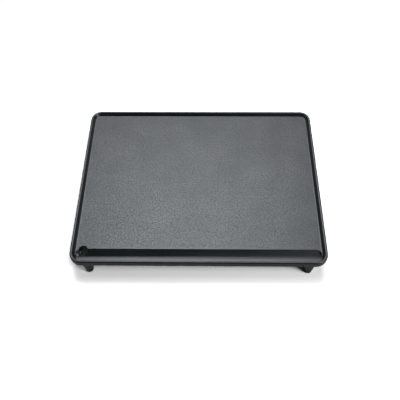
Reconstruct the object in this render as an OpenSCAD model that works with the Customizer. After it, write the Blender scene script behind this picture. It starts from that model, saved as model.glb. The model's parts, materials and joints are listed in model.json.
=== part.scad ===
// Camp griddle plate: an iron casting with a flat cooking surface, a rounded rim,
// a grease trough along the front that falls to a drain hole, and four screwed feet.
// Millimetres, +Z up. The origin is on the table, under the middle of the plate.
// The trough is at the front, which faces -Y, and the drain is at its left end.

/* [Plate] */
// Width of the casting over its rim
plate_w = 335; // [260:1:420]
// Depth of the casting over its rim
plate_d = 266; // [200:1:340]
// Corner radius of the casting, seen from above
corner_r = 15.5; // [13:0.5:22]
// Thickness of the cooking plate
plate_t = 5.5; // [4.5:0.5:8]
// Height of the cooking surface above the table
surface_h = 29; // [27:0.5:45]
// Radius along the lower outer edge of the casting
skirt_edge_r = 4.5; // [2:0.5:6]

/* [Rim] */
// Thickness of the rim, whose top is fully rounded
rim_t = 4; // [3:0.5:6]
// Height of the rim above the cooking surface
rim_h = 5; // [4:0.5:12]
// Width of the rim's sloping inner face, seen from above
rim_slope_w = 2.4; // [1.4:0.2:4]
// Fillet between the rim's inner face and the cooking surface
rim_fillet_r = 1.2; // [0.6:0.1:2]

/* [Grease trough] */
// Width of the trough's mouth, behind the front rim
trough_w = 19.5; // [15:0.5:30]
// Depth of the trough below the cooking surface, at its drain end
trough_depth = 6; // [5:0.5:9]
// Width of the trough's sloping wall, seen from above
trough_slope_w = 9.5; // [6:0.5:12]
// Corner radius of the trough's mouth, seen from above
trough_corner_r = 9; // [5:0.5:9.5]
// Distance from the foot of the rim's inner face to each end of the trough's mouth
trough_end_gap = 0.4; // [0.2:0.2:12]
// Rise of the trough's floor from its drain end to its other end
trough_fall = 1.2; // [0.4:0.2:3]
// Thickness of the metal under the lowest part of the trough's floor
trough_t = 3; // [2.5:0.5:6]
// Fillet between the front rim and the trough's floor
trough_fillet_r = 4; // [2:0.5:5]
// Rounding of the edge between the trough and the cooking surface
trough_edge_r = 1.2; // [0.5:0.1:2]
// Thickness of the metal behind the trough's mouth, under the cooking surface
trough_back_t = 7; // [4:0.5:12]
// Radius along the lower outer edge of the trough
trough_outer_r = 9.5; // [6:0.5:11]

/* [Drain] */
// Diameter of the drain hole
drain_d = 12; // [8:0.5:16]
// Distance from the left side of the casting to the middle of the drain hole
drain_from_side = 16.5; // [14:0.5:40]
// Distance from the front of the casting to the middle of the drain hole
drain_from_front = 22; // [18:0.5:24]

/* [Feet] */
// Height of a foot below its seat on the casting
foot_h = 10; // [8:0.5:12]
// Diameter of a foot at its seat
foot_seat_d = 12.7; // [11:0.1:14]
// Diameter of a foot at the table, before its edge is rounded
foot_tip_d = 9.8; // [7:0.1:10.5]
// Rounding of the lower edge of a foot
foot_tip_edge_r = 1; // [0.5:0.1:1.5]
// Distance from the side of the casting to the axis of a foot
foot_from_side = 22.5; // [17:0.5:60]
// Distance from the front or the back of the casting to the axis of a foot
foot_from_edge = 9; // [8:0.5:14]
// Diameter of the threaded stud on a foot
stud_d = 5; // [4:0.5:6]
// Length of the threaded stud on a foot
stud_l = 8; // [6:0.5:9]
// Clearance round the stud in its hole
stud_clearance = 0.05; // [0.02:0.01:0.2]
// Depth of the stud's hole past the end of the stud
stud_hole_spare = 0.6; // [0.3:0.1:1]

/* [Hidden] */
$fn = 96;

// Length by which solids overlap where they join
lap = 0.5;
// Length by which a cut runs past the metal
over = 1;
// Depth by which a round top crosses a face that it would only touch
bite = 0.002;

// Heights above the table
plate_bottom_z = surface_h - plate_t;
rim_top_z = surface_h + rim_h;
rim_round_z = rim_top_z - rim_t / 2;
trough_floor_z = surface_h - trough_depth;
trough_bottom_z = trough_floor_z - trough_t;

// Fillets, limited by the walls that carry them
skirt_r = min(skirt_edge_r, plate_t - 2 * lap);
trough_top_z = plate_bottom_z + skirt_r + lap;
trough_round_r = min(trough_outer_r, trough_top_z - trough_bottom_z - lap, corner_r - 2 * lap);

// The rim's inner face in section: a line from the cooking surface that touches the round top
rim_axis = [rim_t / 2, rim_round_z];
rim_foot = [rim_t + rim_slope_w, surface_h];
rim_touch_r = rim_t / 2 - bite;
rim_touch_angle = acos(rim_touch_r / norm(rim_foot - rim_axis))
    - atan2(rim_axis[1] - rim_foot[1], rim_foot[0] - rim_axis[0]);
rim_touch = rim_axis + rim_touch_r * [cos(rim_touch_angle), sin(rim_touch_angle)];

// The fillet at the foot of that face: its axis and the points where it begins and ends
rim_foot_tangent = rim_fillet_r * tan((90 - rim_touch_angle) / 2);
rim_foot_axis = rim_foot + [rim_foot_tangent, rim_fillet_r];
rim_foot_low = rim_foot + [rim_foot_tangent, 0];
rim_foot_high = rim_foot + rim_foot_tangent * [-sin(rim_touch_angle), cos(rim_touch_angle)];

// The rim's band, out to where the flat cooking plate takes over
rim_band = rim_foot_low[0] + 2 * lap;

// The trough's sloping wall, and the tangent points of its rounded upper edge
slope_angle = atan2(trough_depth, trough_slope_w);
edge_tangent = trough_edge_r * tan(slope_angle / 2);
edge_low = [trough_w - edge_tangent * cos(slope_angle), surface_h - edge_tangent * sin(slope_angle)];
edge_high = [trough_w + edge_tangent, surface_h];

// The trough in plan: its body's depth front to back, and the mouth's length, depth and corners
trough_body_d = max(rim_t + trough_w + trough_back_t, 2 * corner_r + lap);
trough_l = plate_w - 2 * (rim_foot[0] + trough_end_gap);
mouth_d = edge_high[0];
mouth_corner_r = min(trough_corner_r, mouth_d / 2 - lap);
trough_cut_z = rim_top_z + over;
front_wall_y = -plate_d / 2 + rim_t;

// The cone that a foot and its boss share: its radius at a height above the table
foot_growth = (foot_seat_d - foot_tip_d) / 2 / foot_h;
foot_slant = sqrt(1 + foot_growth * foot_growth);
function cone_r(z) = foot_tip_d / 2 + foot_growth * z;

foot_x = plate_w / 2 - foot_from_side;
foot_y = plate_d / 2 - foot_from_edge;
stud_hole_d = stud_d + 2 * stud_clearance;

// Rectangle with round corners, centred on the origin
module rounded_rectangle(w, d, r) {
    square([w, d - 2 * r], center = true);
    square([w - 2 * r, d], center = true);
    for (x = [-1, 1], y = [-1, 1]) {
        translate([x * (w / 2 - r), y * (d / 2 - r)])
            circle(r = r);
    }
}

// Square corner at the origin, filled up to an arc of radius r that touches both of its sides
module fillet_section(r) {
    difference() {
        translate([-lap, -lap])
            square(r + lap);
        translate([r, r])
            circle(r = r);
    }
}

// Straight run along +X of a section drawn with its x inwards (+Y) and its y upwards
module straight_run(length) {
    rotate([90, 0, 90])
        linear_extrude(height = length)
            children();
}

// Section carried round a rounded rectangle, with its x measured inwards from the outline
module sweep_outline(w, d, r) {
    for (turn = [0, 180]) {
        rotate([0, 0, turn]) {
            translate([r - w / 2, -d / 2, 0])
                straight_run(w - 2 * r)
                    children();
            rotate([0, 0, 90])
                translate([r - d / 2, -w / 2, 0])
                    straight_run(d - 2 * r)
                        children();
            for (side = [-1, 1]) {
                translate([side * (w / 2 - r), d / 2 - r, 0])
                    rotate([0, 0, side > 0 ? 0 : 90])
                        rotate_extrude(angle = 90)
                            translate([r, 0])
                                mirror([1, 0])
                                    children();
            }
        }
    }
}

// Rim, with its round top and sloping inner face, and the strip of cooking plate that it stands on
module rim_section() {
    difference() {
        union() {
            polygon([
                [0, plate_bottom_z],
                [rim_band, plate_bottom_z],
                [rim_band, surface_h],
                rim_foot_low,
                rim_foot_axis,
                rim_foot_high,
                rim_touch,
                rim_axis,
                [0, rim_round_z]
            ]);
            translate(rim_axis)
                circle(d = rim_t);
        }
        translate(rim_foot_axis)
            circle(r = rim_fillet_r);
        translate([0, plate_bottom_z])
            fillet_section(skirt_r);
    }
}

// Outer wall of the trough, below the rim
module trough_body_section() {
    difference() {
        translate([0, trough_bottom_z])
            square([trough_round_r + lap, trough_top_z - trough_bottom_z]);
        translate([0, trough_bottom_z])
            fillet_section(trough_round_r);
    }
}

// Trough's body under the front of the plate, before its hollow is cut
module trough_body() {
    inset = trough_round_r;
    translate([0, (trough_body_d - plate_d) / 2, 0]) {
        sweep_outline(plate_w, trough_body_d, corner_r)
            trough_body_section();
        translate([0, 0, trough_bottom_z])
            linear_extrude(height = trough_top_z - trough_bottom_z)
                rounded_rectangle(plate_w - 2 * inset, trough_body_d - 2 * inset, corner_r - inset);
    }
}

// Section of the trough's hollow, with its x measured back from the front rim's inner face
module trough_hollow_section() {
    difference() {
        polygon([
            [0, trough_floor_z],
            [trough_w - trough_slope_w, trough_floor_z],
            edge_low,
            edge_high,
            [edge_high[0], trough_cut_z],
            [0, trough_cut_z]
        ]);
        translate([edge_high[0], surface_h - trough_edge_r + bite])
            circle(r = trough_edge_r);
    }
}

// Metal left in the bottom of the hollow: the floor, rising away from the drain, and its front fillet
module trough_floor() {
    floor_l = trough_l + 2 * over;
    translate([-trough_l / 2, front_wall_y, trough_floor_z])
        rotate([0, -atan2(trough_fall, trough_l), 0])
            translate([-over, 0, 0]) {
                translate([0, -over, -trough_t])
                    cube([floor_l, mouth_d + 2 * over, trough_t]);
                straight_run(floor_l)
                    fillet_section(trough_fillet_r);
            }
}

// Trough's hollow: the section carried from end to end, inside a mouth with round corners
module trough_hollow() {
    difference() {
        intersection() {
            translate([-trough_l / 2 - over, front_wall_y, 0])
                straight_run(trough_l + 2 * over)
                    trough_hollow_section();
            translate([0, front_wall_y + mouth_d / 2, trough_floor_z - over])
                linear_extrude(height = trough_cut_z - trough_floor_z + 2 * over)
                    rounded_rectangle(trough_l, mouth_d, mouth_corner_r);
        }
        trough_floor();
    }
}

// Boss for a foot: the foot's own cone carried up into the casting
module foot_boss(root_z) {
    translate([0, 0, foot_h])
        cylinder(h = root_z - foot_h, r1 = cone_r(foot_h), r2 = cone_r(root_z));
}

// The four bosses, kept inside the outline of the casting
module foot_bosses() {
    intersection() {
        translate([0, 0, foot_h])
            linear_extrude(height = surface_h - foot_h)
                rounded_rectangle(plate_w, plate_d, corner_r);
        for (x = [-foot_x, foot_x]) {
            translate([x, -foot_y, 0])
                foot_boss(trough_bottom_z + trough_round_r);
            translate([x, foot_y, 0])
                foot_boss(plate_bottom_z + skirt_r);
        }
    }
}

// Casting: rim, cooking plate, trough and foot bosses in one piece of iron
module griddle_plate() {
    inset = rim_band - lap;
    color("dimgray")
        difference() {
            union() {
                sweep_outline(plate_w, plate_d, corner_r)
                    rim_section();
                translate([0, 0, plate_bottom_z])
                    linear_extrude(height = plate_t)
                        rounded_rectangle(plate_w - 2 * inset, plate_d - 2 * inset, corner_r - inset);
                trough_body();
                foot_bosses();
            }
            trough_hollow();
            translate([drain_from_side - plate_w / 2, drain_from_front - plate_d / 2, trough_bottom_z - over])
                cylinder(d = drain_d, h = trough_cut_z - trough_bottom_z + over);
            for (x = [-foot_x, foot_x], y = [-foot_y, foot_y]) {
                translate([x, y, foot_h - over])
                    cylinder(d = stud_hole_d, h = over + stud_l + stud_hole_spare);
            }
        }
}

// Foot: a turned cone with a rounded tip, and a stud that screws up into its boss
module foot() {
    tip_x = foot_tip_d / 2 + foot_tip_edge_r * (foot_growth - foot_slant);
    touch = [
        tip_x + foot_tip_edge_r / foot_slant,
        foot_tip_edge_r * (1 - foot_growth / foot_slant)
    ];
    rotate_extrude() {
        polygon([[0, 0], [tip_x, 0], touch, [foot_seat_d / 2, foot_h], [0, foot_h]]);
        intersection() {
            translate([tip_x, foot_tip_edge_r])
                circle(r = foot_tip_edge_r);
            square([foot_seat_d, foot_h]);
        }
    }
    translate([0, 0, foot_h - lap])
        cylinder(d = stud_d, h = stud_l + lap);
}

module front_left_foot() {
    color("dimgray")
        translate([-foot_x, -foot_y, 0])
            foot();
}

module front_right_foot() {
    color("dimgray")
        translate([foot_x, -foot_y, 0])
            foot();
}

module rear_left_foot() {
    color("dimgray")
        translate([-foot_x, foot_y, 0])
            foot();
}

module rear_right_foot() {
    color("dimgray")
        translate([foot_x, foot_y, 0])
            foot();
}

griddle_plate();
front_left_foot();
front_right_foot();
rear_left_foot();
rear_right_foot();
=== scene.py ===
import bmesh
import bpy
import json
import math
import numpy as np
from mathutils import Matrix, Vector, geometry, kdtree


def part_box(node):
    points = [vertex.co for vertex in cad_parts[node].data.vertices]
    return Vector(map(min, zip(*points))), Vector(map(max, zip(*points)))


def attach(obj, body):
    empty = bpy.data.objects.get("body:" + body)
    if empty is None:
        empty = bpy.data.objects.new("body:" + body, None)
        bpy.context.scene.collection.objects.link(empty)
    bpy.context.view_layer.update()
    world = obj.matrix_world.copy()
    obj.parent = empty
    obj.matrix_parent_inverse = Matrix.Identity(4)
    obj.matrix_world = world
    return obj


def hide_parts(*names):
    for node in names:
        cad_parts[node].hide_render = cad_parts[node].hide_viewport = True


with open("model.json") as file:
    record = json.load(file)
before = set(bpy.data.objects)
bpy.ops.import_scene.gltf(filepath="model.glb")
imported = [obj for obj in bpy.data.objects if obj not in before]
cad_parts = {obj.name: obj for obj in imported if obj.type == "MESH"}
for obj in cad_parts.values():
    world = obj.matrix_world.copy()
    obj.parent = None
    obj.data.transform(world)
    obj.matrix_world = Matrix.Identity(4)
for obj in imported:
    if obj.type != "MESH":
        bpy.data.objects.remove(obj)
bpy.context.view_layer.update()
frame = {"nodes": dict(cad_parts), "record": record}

# Griddle plate: one grey iron casting with the cooking plate, the rim, the grease trough and the foot
# bosses, sand cast and baked black. The sand leaves low pebbles all over the flat cooking face,
# which are real relief here, while the rest of the skin keeps the casting's own form.
surface_z = next(m["pos_m"][2] for m in frame["record"]["mounts"] if m["name"] == "cooking_surface")
upward = 0.99
level_slack = 1e-7
weld_gap = 1e-6
pebble_step = 0.00105
pebble_margin = 0.0006
pebble_fade = 0.003
pebble_size = 0.0030
pebble_height = 0.00008
pebble_seed = 11
crease_angle = math.radians(28)
worn_edge_r = 0.0006
grit_depth = 0.00012
skin_dark = (0.0045, 0.0047, 0.005, 1)
skin_pale = (0.0095, 0.0098, 0.0102, 1)
speck_pale = (0.0345, 0.0356, 0.0368, 1)
speck_dark = (0.0034, 0.0037, 0.0039, 1)
worn_grey = (0.03, 0.031, 0.032, 1)
iron_ior = 1.5
iron_tint = (0.88, 0.945, 1.0, 1)
plate_gloss = 0.63


def flat_faces(shape, height):
    """Faces of a mesh that lie flat at a height and look up."""
    return [
        face for face in shape.faces
        if face.normal.z > upward and all(abs(vert.co.z - height) < level_slack for vert in face.verts)
    ]


def edges_round(faces):
    """Edges round the outside of a patch of faces."""
    patch = set(faces)
    edges = dict.fromkeys(edge for face in faces for edge in face.edges)
    return [edge for edge in edges if sum(face in patch for face in edge.link_faces) == 1]


def inside_outline(points, edges):
    """Which of the points lie inside the closed outline that the edges make, seen from above."""
    inside = np.zeros(len(points), bool)
    x, y = points[:, 0], points[:, 1]
    for edge in edges:
        (ax, ay, _), (bx, by, _) = edge.verts[0].co, edge.verts[1].co
        if ay != by:
            inside ^= ((ay > y) != (by > y)) & (x < (bx - ax) * (y - ay) / (by - ay) + ax)
    return inside


# The flat face comes out of the casting's skin, and its outline is cut as finely as the pebbles need.
casting = bmesh.new()
casting.from_mesh(frame["nodes"]["griddle_plate"].data)
fade = casting.verts.layers.float.new("pebbled")
bmesh.ops.remove_doubles(casting, verts=casting.verts, dist=weld_gap)
for edge in edges_round(flat_faces(casting, surface_z)):
    cuts = int(edge.calc_length() / pebble_step) - 1
    if cuts > 0:
        bmesh.ops.subdivide_edges(casting, edges=[edge], cuts=cuts)
cooking_face = flat_faces(casting, surface_z)
outline = edges_round(cooking_face)
outline_verts = list(dict.fromkeys(vert for edge in outline for vert in edge.verts))
bmesh.ops.delete(casting, geom=cooking_face, context="FACES")

# Rows of points, each set half a step off the last, fill the outline up to a small margin.
nearest_edge = kdtree.KDTree(len(outline_verts))
for index, vert in enumerate(outline_verts):
    nearest_edge.insert(vert.co, index)
nearest_edge.balance()
low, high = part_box("griddle_plate")
rows = np.arange(low.y, high.y, pebble_step * math.sqrt(3) / 2)
columns = np.arange(low.x, high.x, pebble_step)
grid = np.array([
    (x + (row % 2) * pebble_step / 2, y) for row, y in enumerate(rows) for x in columns
])
grid = grid[inside_outline(grid, outline)]
off_the_edge = [nearest_edge.find((x, y, surface_z))[2] > pebble_margin for x, y in grid]
grid = grid[np.array(off_the_edge)]

# The points are joined to the outline's own corners by triangles, so that the skin stays closed.
place_of = {vert: index for index, vert in enumerate(outline_verts)}
flat_points = [Vector(vert.co[:2]) for vert in outline_verts] + [Vector(point) for point in grid]
flat_edges = [(place_of[edge.verts[0]], place_of[edge.verts[1]]) for edge in outline]
whole_hull = 0
merge_gap = 1e-9
with_sources = True
made = geometry.delaunay_2d_cdt(flat_points, flat_edges, [], whole_hull, merge_gap, with_sources)
spots, triangles, sources = made[0], made[2], made[3]
middles = np.array([(spots[a] + spots[b] + spots[c]) / 3 for a, b, c in triangles])
kept = inside_outline(middles, outline)
skin = []
for spot, source in zip(spots, sources):
    known = source[0] if source else len(flat_points)
    if known < len(outline_verts):
        skin.append(outline_verts[known])
    else:
        skin.append(casting.verts.new((spot.x, spot.y, surface_z)))
for triangle, keep in zip(triangles, kept):
    if keep:
        face = casting.faces.new([skin[index] for index in triangle])
        face.normal_update()
        if face.normal.z < 0:
            face.normal_flip()
for vert in skin:
    vert[fade] = min(nearest_edge.find(vert.co)[2] / pebble_fade, 1.0)
plate_mesh = bpy.data.meshes.new("griddle_plate_casting")
casting.to_mesh(plate_mesh)
casting.free()
plate_mesh.shade_smooth()
plate_mesh.set_sharp_from_angle(angle=crease_angle)
plate = bpy.data.objects.new("griddle_plate_casting", plate_mesh)
bpy.context.scene.collection.objects.link(plate)


def feed(tree, node, inputs):
    """Puts a link from another node, or a plain value, on each of a node's inputs."""
    for slot, value in inputs.items():
        if isinstance(value, bpy.types.NodeSocket):
            tree.links.new(value, node.inputs[slot])
        else:
            node.inputs[slot].default_value = value


def add(tree, kind, inputs, **settings):
    """Adds a node of a kind with its settings and inputs, and gives its outputs."""
    node = tree.nodes.new(kind)
    for name, value in settings.items():
        setattr(node, name, value)
    feed(tree, node, inputs)
    return node.outputs


def spread(tree, value, start, end, low_end, high_end, steps="LINEAR"):
    """Carries the range of a value from start to end over to the range from low_end to high_end."""
    ranges = {"From Min": start, "From Max": end, "To Min": low_end, "To Max": high_end}
    return add(tree, "ShaderNodeMapRange", {"Value": value, **ranges}, interpolation_type=steps)["Result"]


def two_tone(tree, value, start, end, first_tone, last_tone):
    """Colours the range of a value from start to end, from the first tone to the last."""
    ramp = tree.nodes.new("ShaderNodeValToRGB")
    feed(tree, ramp, {"Fac": value})
    first, last = ramp.color_ramp.elements
    first.position = start
    first.color = first_tone
    last.position = end
    last.color = last_tone
    return ramp.outputs["Color"]


# The skin is even and satin. Where it is pebbled, fine grain makes it rough and speckles it, and the
# casting's sharp edges are rubbed a little paler.
iron = bpy.data.materials.new("black_cast_iron")
iron.use_nodes = True
tree = iron.node_tree
place = add(tree, "ShaderNodeTexCoord", {})["Object"]
sanded = add(tree, "ShaderNodeAttribute", {}, attribute_name="pebbled")["Fac"]
flow = add(tree, "ShaderNodeTexNoise", {"Vector": place, "Scale": 26, "Detail": 3})["Fac"]
grain_inputs = {"Vector": place, "Scale": 520, "Detail": 4, "Roughness": 0.65}
grain = add(tree, "ShaderNodeTexNoise", grain_inputs)["Fac"]
plain_tone = two_tone(tree, flow, start=0.3, end=0.72, first_tone=skin_dark, last_tone=skin_pale)
specks = two_tone(tree, grain, start=0.40, end=0.62, first_tone=speck_pale, last_tone=speck_dark)
cloudy = spread(tree, flow, start=0.3, end=0.7, low_end=0.55, high_end=1.45)
cloud_inputs = {"Vector": specks, "Scale": cloudy}
clouded = add(tree, "ShaderNodeVectorMath", cloud_inputs, operation="SCALE")["Vector"]
tone_inputs = {"Factor": sanded, "A": plain_tone, "B": clouded}
speckled = add(tree, "ShaderNodeMix", tone_inputs, data_type="RGBA")["Result"]
plain_sheen = spread(tree, grain, start=0.3, end=0.7, low_end=0.27, high_end=0.35)
sand_sheen = spread(tree, grain, start=0.36, end=0.64, low_end=0.28, high_end=0.52)
sheen = add(tree, "ShaderNodeMix", {"Factor": sanded, "A": plain_sheen, "B": sand_sheen})["Result"]
soft_edge = add(tree, "ShaderNodeBevel", {"Radius": worn_edge_r}, samples=6)["Normal"]
face_way = add(tree, "ShaderNodeNewGeometry", {})["Normal"]
turn = add(tree, "ShaderNodeVectorMath", {0: soft_edge, 1: face_way}, operation="DOT_PRODUCT")["Value"]
rubbed = spread(tree, turn, start=0.97, end=0.80, low_end=0, high_end=0.5)
worn_inputs = {"Factor": rubbed, "A": speckled, "B": worn_grey}
worn = add(tree, "ShaderNodeMix", worn_inputs, data_type="RGBA")["Result"]
cell_inputs = {"Vector": place, "Scale": 780, "Smoothness": 0.6}
cells = add(tree, "ShaderNodeTexVoronoi", cell_inputs, feature="SMOOTH_F1")["Distance"]
cell_bump = {"Strength": 0.5, "Distance": grit_depth, "Height": cells, "Normal": soft_edge}
beaded = add(tree, "ShaderNodeBump", cell_bump, invert=True)["Normal"]
grain_bump = {"Strength": 0.35, "Distance": grit_depth, "Height": grain, "Normal": beaded}
gritty = add(tree, "ShaderNodeBump", grain_bump)["Normal"]
feed(tree, tree.nodes["Principled BSDF"], {
    "Base Color": worn, "Roughness": sheen, "Normal": gritty,
    "IOR": iron_ior, "Specular IOR Level": plate_gloss, "Specular Tint": iron_tint,
})


def figure(tree, operation, *values):
    """Works out one number from others, each a link or a plain value."""
    return add(tree, "ShaderNodeMath", dict(enumerate(values)), operation=operation)["Value"]


# The pebbles lift and lower the flat face and fade out towards its edges. The noise swings by a half either
# way, so the tree is given twice the height.
relief = bpy.data.node_groups.new("sand_pebbles", "GeometryNodeTree")
relief.interface.new_socket("Geometry", in_out="INPUT", socket_type="NodeSocketGeometry")
size_in = relief.interface.new_socket("Pebble Size", in_out="INPUT", socket_type="NodeSocketFloat")
height_in = relief.interface.new_socket("Pebble Height", in_out="INPUT", socket_type="NodeSocketFloat")
seed_in = relief.interface.new_socket("Seed", in_out="INPUT", socket_type="NodeSocketInt")
finish_in = relief.interface.new_socket("Finish", in_out="INPUT", socket_type="NodeSocketMaterial")
relief.interface.new_socket("Geometry", in_out="OUTPUT", socket_type="NodeSocketGeometry")
given = add(relief, "NodeGroupInput", {})
per_metre = figure(relief, "DIVIDE", 1.0, given["Pebble Size"])
lump_inputs = {"W": given["Seed"], "Scale": per_metre, "Detail": 1.5}
lumps = add(relief, "ShaderNodeTexNoise", lump_inputs, noise_dimensions="4D")["Fac"]
centred = figure(relief, "SUBTRACT", lumps, 0.5)
tall = figure(relief, "MULTIPLY", centred, given["Pebble Height"])
amount_inputs = {"Name": "pebbled"}
amount = add(relief, "GeometryNodeInputNamedAttribute", amount_inputs, data_type="FLOAT")["Attribute"]
faded = figure(relief, "MULTIPLY", tall, amount)
lift = add(relief, "ShaderNodeCombineXYZ", {"Z": faded})["Vector"]
moved_inputs = {"Geometry": given["Geometry"], "Offset": lift}
moved = add(relief, "GeometryNodeSetPosition", moved_inputs)["Geometry"]
solid = add(relief, "GeometryNodeRealizeInstances", {"Geometry": moved})["Geometry"]
painted_inputs = {"Geometry": solid, "Material": given["Finish"]}
painted = add(relief, "GeometryNodeSetMaterial", painted_inputs)["Geometry"]
add(relief, "NodeGroupOutput", {"Geometry": painted})

pebbling = plate.modifiers.new("sand_pebbles", "NODES")
pebbling.node_group = relief
pebbling[size_in.identifier] = pebble_size
pebbling[height_in.identifier] = pebble_height * 2
pebbling[seed_in.identifier] = pebble_seed
pebbling[finish_in.identifier] = iron
evened = plate.modifiers.new("even_normals", "WEIGHTED_NORMAL")
evened.keep_sharp = True
evened.weight = 80
finished = plate.evaluated_get(bpy.context.evaluated_depsgraph_get())
plate_mesh = bpy.data.meshes.new_from_object(finished)
plate.modifiers.clear()
plate.data = plate_mesh
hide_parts("griddle_plate")
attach(plate, "root")

# Feet: four turned iron cones, blackened like the casting. Each has a rounded tip and a threaded stud
# that is screwed up into its boss until the cone's flat shoulder sits on the boss.
foot_h = 0.010
seat_r = 0.00635
tip_r = 0.0049
tip_edge_r = 0.0010
tip_edge_steps = 8
shoulder_edge = 0.00025
stud_r = 0.0025
thread_pitch = 0.0008
thread_depth = 0.00049
stud_lead_in = 0.0007
foot_sides = 56
thread_rows_per_turn = 10
tool_mark_depth = 0.00005
foot_dark = (0.004, 0.0042, 0.0044, 1)
foot_pale = (0.010, 0.0103, 0.0106, 1)
foot_gloss = 0.4

foot_iron = bpy.data.materials.new("black_turned_iron")
foot_iron.use_nodes = True
tree = foot_iron.node_tree
place = add(tree, "ShaderNodeTexCoord", {})["Object"]
mottle = add(tree, "ShaderNodeTexNoise", {"Vector": place, "Scale": 420, "Detail": 4})["Fac"]
turning_inputs = {"Vector": place, "Scale": 900, "Distortion": 0.6}
turning = add(tree, "ShaderNodeTexWave", turning_inputs, bands_direction="Z")["Fac"]
mark_inputs = {"Strength": 0.25, "Distance": tool_mark_depth, "Height": turning}
feed(tree, tree.nodes["Principled BSDF"], {
    "Base Color": two_tone(tree, mottle, start=0.3, end=0.7, first_tone=foot_dark, last_tone=foot_pale),
    "Roughness": spread(tree, mottle, start=0.3, end=0.7, low_end=0.36, high_end=0.5),
    "Normal": add(tree, "ShaderNodeBump", mark_inputs)["Normal"],
    "IOR": iron_ior, "Specular IOR Level": foot_gloss, "Specular Tint": iron_tint,
})


def foot_profile():
    """Radii and heights up the outside of a foot, from the tip's flat to the shoulder."""
    growth = (seat_r - tip_r) / foot_h
    slant = math.hypot(1, growth)
    tip_x = tip_r + tip_edge_r * (growth - slant)
    end = math.pi / 2 - math.atan(growth)
    points = []
    for step in range(tip_edge_steps + 1):
        angle = end * step / tip_edge_steps
        points.append((tip_x + tip_edge_r * math.sin(angle), tip_edge_r * (1 - math.cos(angle))))
    points.append((seat_r - shoulder_edge * growth, foot_h - shoulder_edge))
    points.append((seat_r - shoulder_edge, foot_h))
    points.append((stud_r, foot_h))
    return points


def stud_radius(turns, height, stud_top):
    """Radius of the thread's flank at a height, for a place so many turns round the stud."""
    wave = (height / thread_pitch - turns) % 1.0
    crest = 1 - abs(2 * wave - 1)
    lead = min((stud_top - height) / stud_lead_in, 1.0)
    root = stud_r - thread_depth
    return root + thread_depth * crest * max(lead, 0.0)


for name in ("front_left_foot", "front_right_foot", "rear_left_foot", "rear_right_foot"):
    low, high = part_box(name)
    axis = Vector(((low.x + high.x) / 2, (low.y + high.y) / 2, low.z))
    stud_top = high.z - low.z
    rings = []
    for radius, height in foot_profile():
        rings.append([(radius, height)] * foot_sides)
    thread_rows = int((stud_top - foot_h) / thread_pitch * thread_rows_per_turn)
    for row in range(1, thread_rows + 1):
        height = foot_h + (stud_top - foot_h) * row / thread_rows
        turns = [side / foot_sides for side in range(foot_sides)]
        rings.append([(stud_radius(turn, height, stud_top), height) for turn in turns])
    shape = bmesh.new()
    grown = []
    for ring in rings:
        verts = []
        for side, (radius, height) in enumerate(ring):
            angle = 2 * math.pi * side / foot_sides
            reach = Vector((radius * math.cos(angle), radius * math.sin(angle), height))
            verts.append(shape.verts.new(axis + reach))
        grown.append(verts)
    for lower, upper in zip(grown, grown[1:]):
        for side in range(foot_sides):
            following = (side + 1) % foot_sides
            shape.faces.new((lower[side], lower[following], upper[following], upper[side]))
    shape.faces.new(list(reversed(grown[0])))
    shape.faces.new(grown[-1])
    foot_mesh = bpy.data.meshes.new(name + "_turned")
    shape.to_mesh(foot_mesh)
    shape.free()
    foot_mesh.shade_smooth()
    foot_mesh.set_sharp_from_angle(angle=crease_angle)
    foot_mesh.materials.append(foot_iron)
    foot = bpy.data.objects.new(name + "_turned", foot_mesh)
    bpy.context.scene.collection.objects.link(foot)
    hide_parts(name)
    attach(foot, "root")

# Floor: a wide sheet of white paper, laid flat. Near the plate it takes the plate's shadow, and further
# out it is as white as the room behind it. From below it lets the camera look through, so that the
# underside of the plate can be seen.
floor_half = 3.0
shadow_reach = 0.36
white_from = 0.60
paper_lit = (0.8, 0.8, 0.8, 1)
paper_mirrored = (0.5, 0.5, 0.5, 1)
paper_seen = (1.88, 1.88, 1.88, 1)


def rise(tree, value, start, end):
    """Smooth rise of a share from 0 where a value is at the start to 1 where it is at the end."""
    return spread(tree, value, start, end, low_end=0, high_end=1, steps="SMOOTHSTEP")


def blend(tree, share, first, last):
    """Mixes two shaders, with the first alone at a share of 0 and the last alone at 1."""
    return add(tree, "ShaderNodeMixShader", {0: share, 1: first, 2: last})["Shader"]


floor_corners = [(-floor_half, -floor_half), (floor_half, -floor_half)]
floor_corners += [(floor_half, floor_half), (-floor_half, floor_half)]
floor_mesh = bpy.data.meshes.new("floor")
floor_mesh.from_pydata([(x, y, 0) for x, y in floor_corners], [], [(0, 1, 2, 3)])
floor = bpy.data.objects.new("floor", floor_mesh)
bpy.context.scene.collection.objects.link(floor)
paper = bpy.data.materials.new("white_paper")
paper.use_nodes = True
tree = paper.node_tree
tree.nodes.remove(tree.nodes["Principled BSDF"])
lit = add(tree, "ShaderNodeBsdfDiffuse", {"Color": paper_lit})["BSDF"]
mirrored = add(tree, "ShaderNodeBsdfDiffuse", {"Color": paper_mirrored})["BSDF"]
shaded = add(tree, "ShaderNodeBsdfDiffuse", {"Color": paper_seen})["BSDF"]
white = add(tree, "ShaderNodeEmission", {"Strength": 1.0})["Emission"]
see_through = add(tree, "ShaderNodeBsdfTransparent", {})["BSDF"]
place = add(tree, "ShaderNodeTexCoord", {})["Object"]
distance = add(tree, "ShaderNodeVectorMath", {0: place}, operation="LENGTH")["Value"]
far_off = rise(tree, distance, start=shadow_reach, end=white_from)
from_below = add(tree, "ShaderNodeNewGeometry", {})["Backfacing"]
seen = blend(tree, from_below, blend(tree, far_off, shaded, white), see_through)
ray = add(tree, "ShaderNodeLightPath", {})
reflection = figure(tree, "MAXIMUM", ray["Is Glossy Ray"], ray["Is Transmission Ray"])
unseen = blend(tree, reflection, lit, mirrored)
surface = blend(tree, ray["Is Camera Ray"], unseen, seen)
feed(tree, tree.nodes["Material Output"], {"Surface": surface})
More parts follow.
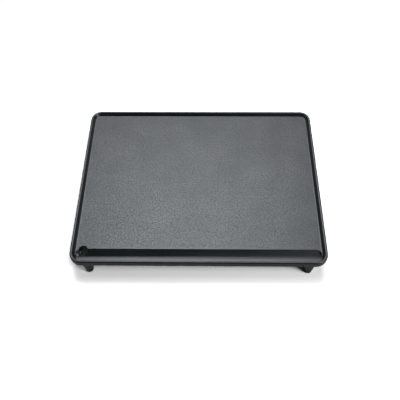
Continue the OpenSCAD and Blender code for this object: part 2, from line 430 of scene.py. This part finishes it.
floor_mesh.materials.append(paper)

# Light: a broad soft box above and behind the plate, which the cooking face mirrors to the camera, with a
# small one that adds to it on the left. A weak one overhead grades the shadow along the front edge, and
# one in front at the right opens that shadow up.
light_plan = [
    # name, place, what it is aimed at, width, length and power in watts
    ("back_box", Vector((-0.04, 0.555, 1.05)), Vector((-0.04, 0.555, 0.0)), 0.76, 0.83, 9.9),
    ("left_box", Vector((-0.26, 0.38, 1.04)), Vector((-0.26, 0.38, 0.0)), 0.32, 0.48, 0.87),
    ("top_box", Vector((0.0, 0.005, 1.05)), Vector((0.0, 0.005, 0.0)), 0.84, 0.27, 1.3),
    ("right_box", Vector((1.56, -1.02, 1.51)), Vector((0, 0, 0)), 0.95, 1.35, 28.7),
]
for name, spot, aim, width, length, power in light_plan:
    lamp = bpy.data.lights.new(name, "AREA")
    lamp.shape = "RECTANGLE"
    lamp.size = width
    lamp.size_y = length
    lamp.energy = power
    box = bpy.data.objects.new(name, lamp)
    bpy.context.scene.collection.objects.link(box)
    box.location = spot
    box.rotation_euler = (aim - spot).to_track_quat("-Z", "Y").to_euler()

# Room: white to the camera. The iron mirrors a pale cloth round the back and the two sides of the table
# and a dark room behind the camera, which keeps the walls of the trough and the rim dark.
room_white = (1, 1, 1, 1)
room_light = 0.004
dark_glow = 0.026
cloth_glow = 1.13

world = bpy.data.worlds.new("studio")
bpy.context.scene.world = world
world.use_nodes = True
tree = world.node_tree
way = add(tree, "ShaderNodeTexCoord", {})["Generated"]
toward = add(tree, "ShaderNodeSeparateXYZ", {"Vector": way})
sideways = figure(tree, "ABSOLUTE", toward["X"])
behind = rise(tree, toward["Y"], start=0.2, end=0.7)
beside = rise(tree, sideways, start=0.45, end=0.85)
back_cloth = figure(tree, "MULTIPLY", behind, rise(tree, toward["Z"], start=0.06, end=0.3))
side_cloth = figure(tree, "MULTIPLY", beside, rise(tree, toward["Z"], start=0.25, end=0.6))
cloth = figure(tree, "MAXIMUM", back_cloth, side_cloth)
glow = spread(tree, cloth, start=0, end=1, low_end=dark_glow, high_end=cloth_glow)
drapes = add(tree, "ShaderNodeBackground", {"Color": room_white, "Strength": glow})["Background"]
white = add(tree, "ShaderNodeBackground", {"Color": room_white, "Strength": 1.0})["Background"]
room = tree.nodes["Background"]
feed(tree, room, {"Color": room_white, "Strength": room_light})
ray = add(tree, "ShaderNodeLightPath", {})
reflection = figure(tree, "MAXIMUM", ray["Is Glossy Ray"], ray["Is Transmission Ray"])
unseen = blend(tree, reflection, room.outputs["Background"], drapes)
surface = blend(tree, ray["Is Camera Ray"], unseen, white)
feed(tree, tree.nodes["World Output"], {"Surface": surface})

# Camera: in front of the plate and above it, a little to the right of its middle, looking down past the
# middle of the plate. The lens is the one that gives the plate's outline in the photograph.
picture_px = 400
focal_px = 571.9
sensor_mm = 36
camera_spot = (0.0125, -0.4865, 0.6779)
turned_left = math.radians(1.43)
looking_down = math.radians(54.92)
tilted = math.radians(-0.94)
camera_data = bpy.data.cameras.new("camera")
camera_data.sensor_width = sensor_mm
camera_data.lens = focal_px * sensor_mm / picture_px
camera = bpy.data.objects.new("camera", camera_data)
bpy.context.scene.collection.objects.link(camera)
camera.matrix_world = (
    Matrix.Translation(camera_spot)
    @ Matrix.Rotation(turned_left, 4, "Z")
    @ Matrix.Rotation(math.pi / 2 - looking_down, 4, "X")
    @ Matrix.Rotation(tilted, 4, "Z")
)
bpy.context.scene.camera = camera
bpy.context.scene.view_settings.view_transform = "Standard"
